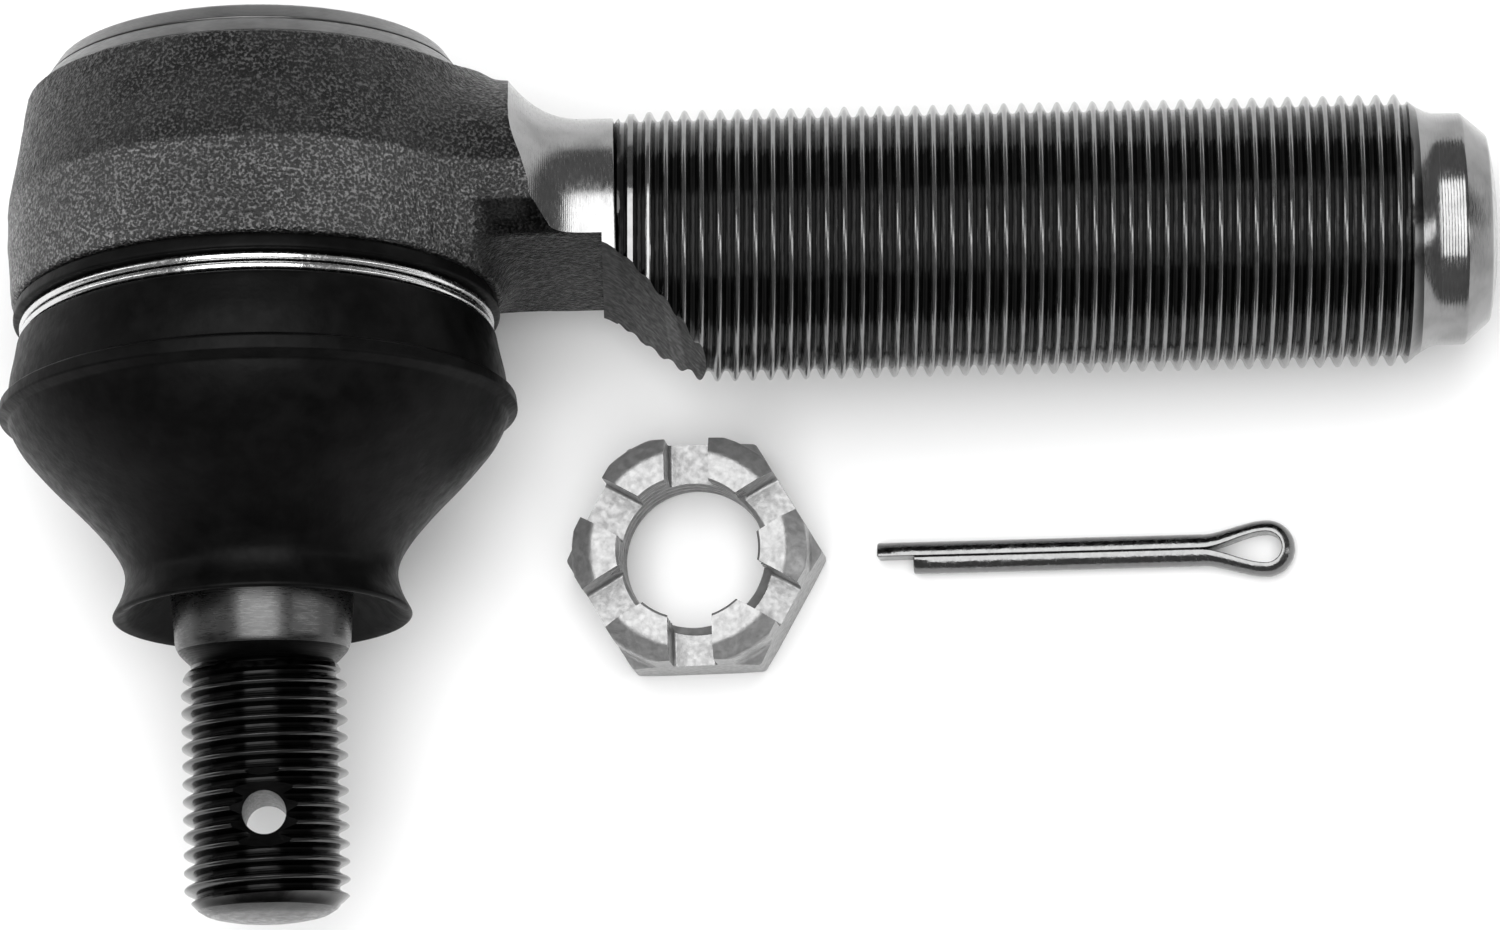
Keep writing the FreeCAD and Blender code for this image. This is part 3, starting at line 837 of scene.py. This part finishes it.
def ball_stud():
    """Ball, neck, ground taper and blackened right-hand thread with the split pin's cross hole."""
    start_r, end_r = STUD_R - 0.95, STUD_R - 1.15

    def limit(s):
        inside = s - TAPER_END_S
        lead_in = min(start_r + 3 * inside, STUD_R - 0.75 + 0.5 * inside)
        return min(lead_in, end_r + STUD_THREAD_END_S - s, STUD_R)

    thread = dict(start=TAPER_END_S, end=STUD_THREAD_END_S, crest_at=TAPER_END_S + 1.75, crest_r=STUD_R,
                  limit=limit)
    flat_s = -math.sqrt(BALL_R**2 - BALL_FLAT_R**2)
    ball = [(0, flat_s)]
    low = math.asin(-flat_s / BALL_R)
    high = math.acos(STUD_NECK_R / BALL_R)
    steps = 40
    for k in range(steps + 1):
        angle = -low + (low + high) * k / steps
        ball.append((BALL_R * math.cos(angle), BALL_R * math.sin(angle)))
    big_r = TAPER_SMALL_R + (TAPER_END_S - TAPER_BIG_S) / 16
    shank = softened([ball[-1], (STUD_NECK_R, TAPER_BIG_S - 3, 1.5), (big_r, TAPER_BIG_S, 0.6),
                      (TAPER_SMALL_R, TAPER_END_S - 1.3, 0.8), (start_r, TAPER_END_S)], closed=False)
    tip = softened([(end_r, STUD_THREAD_END_S), (end_r - 0.9, STUD_END_S - 0.55, 0.5),
                    (2.5, STUD_END_S - 0.05, 2.0), (0, STUD_END_S)], closed=False)
    obj = solid("ball_stud_forged", threaded("stud", ball + shank[1:], thread, tip, hand=1, around=128),
                STUD_THREAD, STUD_GROUND, BLACKENED)
    for face in obj.data.polygons:
        s = -face.center.y
        if TAPER_END_S - 0.1 < s < STUD_THREAD_END_S + 0.1:
            face.material_index = 0
        else:
            # The chamfer before the thread takes the blackened steel as painted shade.
            face.material_index = 2 if TAPER_END_S - 1.2 < s < TAPER_END_S else 1
    drill = solid("drill", hole_cutter(), BLACKENED, HOLE_WALL)
    for face in drill.data.polygons:
        from_axis = math.hypot(face.center.x, face.center.y + PIN_HOLE_S)
        face.material_index = int(from_axis < PIN_HOLE_R + 0.02)
    combine(obj, drill, "DIFFERENCE")
    return finished(obj, STUD_FRAME, "ball_stud", "stud")


# ---------------------------------------------------------------- nut and split pin

def castle_nut():
    """Slotted hexagon nut, slots up, with chamfered lugs and a cut inner thread."""
    low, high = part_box("castle_nut")
    middle = (low + high) / 2
    corner_r = NUT_ACROSS_FLATS / math.sqrt(3)
    corners = [(corner_r * math.cos(math.radians(60 * n)), corner_r * math.sin(math.radians(60 * n)))
               for n in range(6)]
    obj = solid("castle_nut_plated", extruded(corners, "Z", 0, NUT_HEIGHT), NUT_ZINC)
    bevelled(obj, 0.25, 30, 3)
    wide = corner_r + 0.3
    lug_bevel = (NUT_CROWN_R - NUT_FACE_R) * 0.7
    shoulder = NUT_HEX_TOP + corner_r - NUT_CROWN_R
    barrel = softened([(0, 0), (NUT_CROWN_R - 0.5, 0, 0.4), (wide, 1.0), (wide, NUT_HEX_TOP - 0.3),
                       (NUT_CROWN_R, shoulder, 0.3), (NUT_CROWN_R, NUT_HEIGHT - lug_bevel, 0.3),
                       (NUT_FACE_R, NUT_HEIGHT, 0.3), (0, NUT_HEIGHT)], closed=False)
    combine(obj, solid("barrel", lathe("up", barrel, ring=False), NUT_ZINC), "INTERSECT")
    funnel = lathe("up", [(0, -1), (NUT_MOUTH_R + 1, -1),
                          (NUT_BORE_R - 0.2, NUT_MOUTH_R - NUT_BORE_R + 0.2),
                          (NUT_BORE_R - 0.2, NUT_HEIGHT - 0.2), (NUT_BORE_R + 1, NUT_HEIGHT + 1),
                          (0, NUT_HEIGHT + 1)], ring=False)
    combine(obj, solid("funnel", funnel, NUT_ZINC), "DIFFERENCE")
    half = NUT_SLOT_WIDTH / 2
    slot_floor = NUT_HEIGHT - NUT_SLOT_DEPTH
    section = softened([(-half, NUT_HEIGHT + 1), (-half, slot_floor, 0.35), (half, slot_floor, 0.35),
                        (half, NUT_HEIGHT + 1)])
    for turn in (30, 90, 150):
        bm = extruded(section, "X", -NUT_ACROSS_FLATS, NUT_ACROSS_FLATS)
        bmesh.ops.rotate(bm, verts=bm.verts, cent=(0, 0, 0),
                         matrix=Matrix.Rotation(math.radians(turn), 3, "Z"))
        combine(obj, solid("slot", bm, NUT_ZINC), "DIFFERENCE")
    bevelled(obj, 0.1, 40, 2)
    inner_r = STUD_R + 0.03
    tap_end = NUT_HEIGHT - 0.4
    thread = dict(start=NUT_TAP_START, end=tap_end, crest_at=NUT_FIRST_CREST, crest_r=inner_r,
                  limit=lambda z: inner_r - 1 + 4 * min(z - NUT_TAP_START, tap_end - z))
    tap = threaded("up", [(0, NUT_TAP_START), (inner_r - 1, NUT_TAP_START)], thread,
                   [(inner_r - 1, tap_end), (0, tap_end)], hand=1, around=96)
    combine(obj, solid("tap", tap, NUT_ZINC), "DIFFERENCE")
    place = Matrix.Translation((middle.x, middle.y, low.z))
    finished(obj, place, "castle_nut", "nut", crease=40)
    weighted = obj.modifiers.new("flat_faces", "WEIGHTED_NORMAL")
    weighted.weight = 100
    weighted.keep_sharp = True
    return baked(obj)


def pin_line():
    """Inner line of the split pin's wire: out along one leg, round the eye and back."""
    gap = 0.03
    start_x = 1.0

    def spread(x):
        return gap + (PIN_EYE_HOLE_R - gap) * eased(ramp(x, start_x, PIN_EYE_X))

    def leg(length):
        straight = [-length + (length + start_x) * k / 12 for k in range(1, 13)]
        curve = [start_x + (PIN_EYE_X - start_x) * k / 16 for k in range(1, 17)]
        return [-length, -length + 0.12] + straight + curve

    upper = [(x, spread(x)) for x in leg(PIN_LONG_LEG)]
    turn = [(PIN_EYE_X + PIN_EYE_HOLE_R * math.sin(a), PIN_EYE_HOLE_R * math.cos(a))
            for a in (math.pi * k / 20 for k in range(1, 20))]
    lower = [(x, -spread(x)) for x in leg(PIN_SHORT_LEG)]
    return upper + turn + lower[::-1]


def split_pin():
    """Split pin bent from half-round wire, flat faces together."""
    low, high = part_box("cotter_pin")
    line = [Vector(p) for p in pin_line()]
    section = softened([(0, -PIN_WIRE_R + 0.02, 0.12)]
                       + [(math.cos(a), PIN_WIRE_R * math.sin(a)) for a in
                          (math.radians(-75 + 15 * k) for k in range(11))]
                       + [(0, PIN_WIRE_R - 0.02, 0.12)], steps=3)
    rows = []
    last = len(line) - 1
    for n, here in enumerate(line):
        along = heading(line, n)
        out = Vector((-along.y, along.x))
        thick = PIN_WIRE_R + (PIN_EYE_THICK - PIN_WIRE_R) * ramp(here.x, 1, 5)
        trim = 0.88 if n in (0, last) else 1.0
        row = []
        for u, z in section:
            at = here + out * thick * (0.5 + (u - 0.5) * trim)
            row.append((at.x, at.y, z * trim))
        rows.append(row)
    obj = solid("split_pin_plated", tidy(skin(rows)), PIN_ZINC)
    eye_y = (low.y + high.y) / 2 - PIN_EYE_X * MM * math.sin(PIN_TURN)
    lift = Matrix.Translation((high.x - PIN_EYE_LENGTH * MM, eye_y, PIN_WIRE_R * MM))
    return finished(obj, lift @ Matrix.Rotation(PIN_TURN, 4, "Z"), "cotter_pin", "split_pin",
                    crease=50)


# ---------------------------------------------------------------- stage, light and camera

def floor():
    """Plain pale table top."""
    bm = bmesh.new()
    bmesh.ops.create_grid(bm, x_segments=8, y_segments=8, size=3.0)
    obj = solid("table_top", bm)
    f = Finish("table_paper", 0.0, 0.9)
    f.colour(f.mix(f.grain(400, 2), 0.88, 0.9))
    obj.data.materials.append(f.material)


def softbox(name, at, size, watts):
    """Rectangular studio light in metres, facing the origin."""
    light = bpy.data.lights.new(name, "AREA")
    light.shape = "RECTANGLE"
    light.size, light.size_y = size
    light.energy = watts
    obj = bpy.data.objects.new(name, light)
    bpy.context.scene.collection.objects.link(obj)
    obj.matrix_world = Matrix.Translation(at) @ Vector(at).to_track_quat("Z", "Y").to_matrix().to_4x4()


def lights():
    world = bpy.data.worlds.new("studio")
    world.use_nodes = True
    background = world.node_tree.nodes["Background"]
    background.inputs["Color"].default_value = (0.5, 0.5, 0.5, 1)
    background.inputs["Strength"].default_value = 0.45
    bpy.context.scene.world = world
    softbox("overhead", (0.0, 0.05, 0.95), (0.9, 1.5), 18.0)
    softbox("left_strip", (-1.0, 0.2, 0.45), (0.25, 0.9), 1.8)
    softbox("right_strip", (1.1, -0.1, 0.5), (0.25, 0.9), 1.8)


def camera():
    """Long lens almost straight down, turned so that the stud hangs towards the bottom of the frame."""
    aim = Vector((BALL.x + CAMERA_AIM_X, BALL.y + CAMERA_AIM_Y, CAMERA_AIM_HEIGHT))
    flat = math.cos(CAMERA_ELEVATION)
    look = Vector((math.sin(CAMERA_AZIMUTH) * flat, math.cos(CAMERA_AZIMUTH) * flat,
                   -math.sin(CAMERA_ELEVATION)))
    level = Vector((math.cos(CAMERA_AZIMUTH), -math.sin(CAMERA_AZIMUTH), 0))
    above = level.cross(look)
    right = level * math.cos(CAMERA_ROLL) + above * math.sin(CAMERA_ROLL)
    up = above * math.cos(CAMERA_ROLL) - level * math.sin(CAMERA_ROLL)
    data = bpy.data.cameras.new("camera")
    data.lens = CAMERA_LENS_MM
    data.sensor_width = 36
    data.clip_start = 0.05
    data.clip_end = 20
    obj = bpy.data.objects.new("camera", data)
    bpy.context.scene.collection.objects.link(obj)
    turn = Matrix((right, up, -look)).transposed().to_4x4()
    obj.matrix_world = Matrix.Translation(aim - look * CAMERA_DISTANCE) @ turn
    bpy.context.scene.camera = obj


def kept_nodes():
    """CAD pieces whose shape is already right get their finish."""
    for name, material in (("upper_seat", PLASTIC), ("lower_seat", PLASTIC),
                           ("preload_spring", SPRING_STEEL), ("boot_neck_ring", SPRING_STEEL)):
        mesh = frame["nodes"][name].data
        mesh.materials.clear()
        mesh.materials.append(material)


housing_forging()
housing_socket()
housing_shank()
end_cap()
boot_clip()
dust_boot()
ball_stud()
castle_nut()
split_pin()
kept_nodes()
floor()
lights()
camera()
bpy.context.scene.view_settings.view_transform = "Standard"
